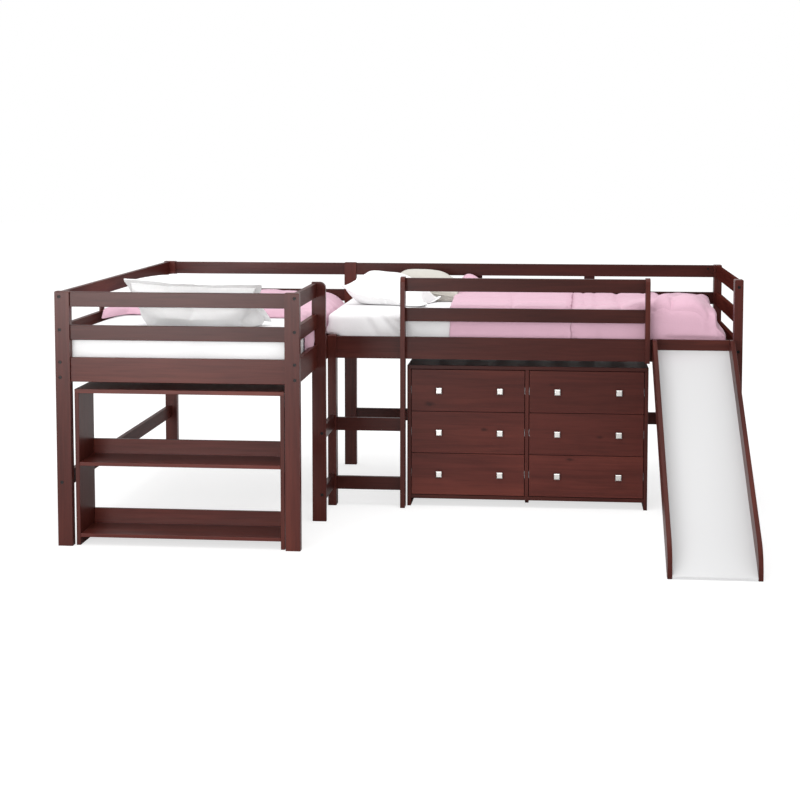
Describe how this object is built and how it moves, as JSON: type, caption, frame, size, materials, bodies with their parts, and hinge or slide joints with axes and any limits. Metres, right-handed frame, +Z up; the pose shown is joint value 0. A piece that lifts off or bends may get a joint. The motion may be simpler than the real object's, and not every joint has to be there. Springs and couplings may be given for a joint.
{
  "type": "l-shaped loft bed",
  "caption": "Low loft beds joined in an L, with short ladders, a straight slide, a drawer dresser and an open bookcase underneath, dressed with mattresses, pillows and comforters.",
  "frame": {"origin": "middle of the footprint, on the floor", "axes": "+X runs along the second bed towards the slide, +Y towards the back, +Z up; the slide and the drawers face -Y"},
  "size_m": [3.026, 2.285, 1.1761],
  "materials": {
    "dark_wood": "dark red-brown stain under a satin clear coat",
    "dark_plain_wood": "dark stain, plain inner wood",
    "dark_steel": "blackened steel",
    "satin_nickel": "satin nickel plate",
    "white_gloss": "white gloss",
    "white_linen": "woven cotton",
    "ivory_linen": "woven cotton",
    "pink_quilt": "soft quilted cotton"
  },
  "bodies": {
    "frame": {"a_foot_posts": "dark_wood", "a_head_posts": "dark_wood", "a_end_guards": "dark_wood", "a_end_rails": "dark_wood", "a_side_guards": "dark_wood", "a_side_rails": "dark_wood", "a_side_stretcher": "dark_wood", "a_short_guards": "dark_wood", "a_ladder_upright": "dark_wood", "a_slats": "dark_plain_wood", "b_corner_post": "dark_wood", "b_end_posts": "dark_wood", "b_front_rail": "dark_wood", "b_front_guards": "dark_wood", "b_ladder_upright": "dark_wood", "b_slide_upright": "dark_wood", "b_back_guards": "dark_wood", "b_back_rail": "dark_wood", "b_back_stretcher": "dark_wood", "b_end_guards": "dark_wood", "b_end_rail": "dark_wood", "b_slats": "dark_plain_wood", "guard_cleats": "dark_wood", "ladder_rungs": "dark_wood", "mattress_ledgers": "dark_plain_wood", "bed_bolts": "dark_steel", "barrel_nuts": "dark_steel", "slide_sides": "dark_wood", "slide_panel": "white_gloss", "slide_battens": "dark_wood", "dresser_sides": "dark_wood", "dresser_divider": "dark_wood", "dresser_top": "dark_wood", "dresser_bottom": "dark_wood", "dresser_back": "dark_plain_wood", "drawer_runners": "dark_steel", "bookcase_sides": "dark_wood", "bookcase_top": "dark_wood", "bookcase_shelves": "dark_wood", "bookcase_lips": "dark_wood", "a_mattress": "white_linen", "b_mattress": "white_linen", "a_pillow": "white_linen", "b_pillow_front": "white_linen", "b_pillow_back": "ivory_linen", "a_comforter": "pink_quilt", "b_comforter": "pink_quilt"},
    "drawer_1_body": {"drawer_1": "dark_wood", "knobs_1": "satin_nickel"},
    "drawer_2_body": {"drawer_2": "dark_wood", "knobs_2": "satin_nickel"},
    "drawer_3_body": {"drawer_3": "dark_wood", "knobs_3": "satin_nickel"},
    "drawer_4_body": {"drawer_4": "dark_wood", "knobs_4": "satin_nickel"},
    "drawer_5_body": {"drawer_5": "dark_wood", "knobs_5": "satin_nickel"},
    "drawer_6_body": {"drawer_6": "dark_wood", "knobs_6": "satin_nickel"}
  },
  "joints": [
    {"name": "drawer_1_slide", "type": "slide", "parent": "frame", "child": "drawer_1_body", "axis": [0, -1, 0], "range_m": [0, 0.28]},
    {"name": "drawer_2_slide", "type": "slide", "parent": "frame", "child": "drawer_2_body", "axis": [0, -1, 0], "range_m": [0, 0.28]},
    {"name": "drawer_3_slide", "type": "slide", "parent": "frame", "child": "drawer_3_body", "axis": [0, -1, 0], "range_m": [0, 0.28]},
    {"name": "drawer_4_slide", "type": "slide", "parent": "frame", "child": "drawer_4_body", "axis": [0, -1, 0], "range_m": [0, 0.28]},
    {"name": "drawer_5_slide", "type": "slide", "parent": "frame", "child": "drawer_5_body", "axis": [0, -1, 0], "range_m": [0, 0.28]},
    {"name": "drawer_6_slide", "type": "slide", "parent": "frame", "child": "drawer_6_body", "axis": [0, -1, 0], "range_m": [0, 0.28]}
  ]
}
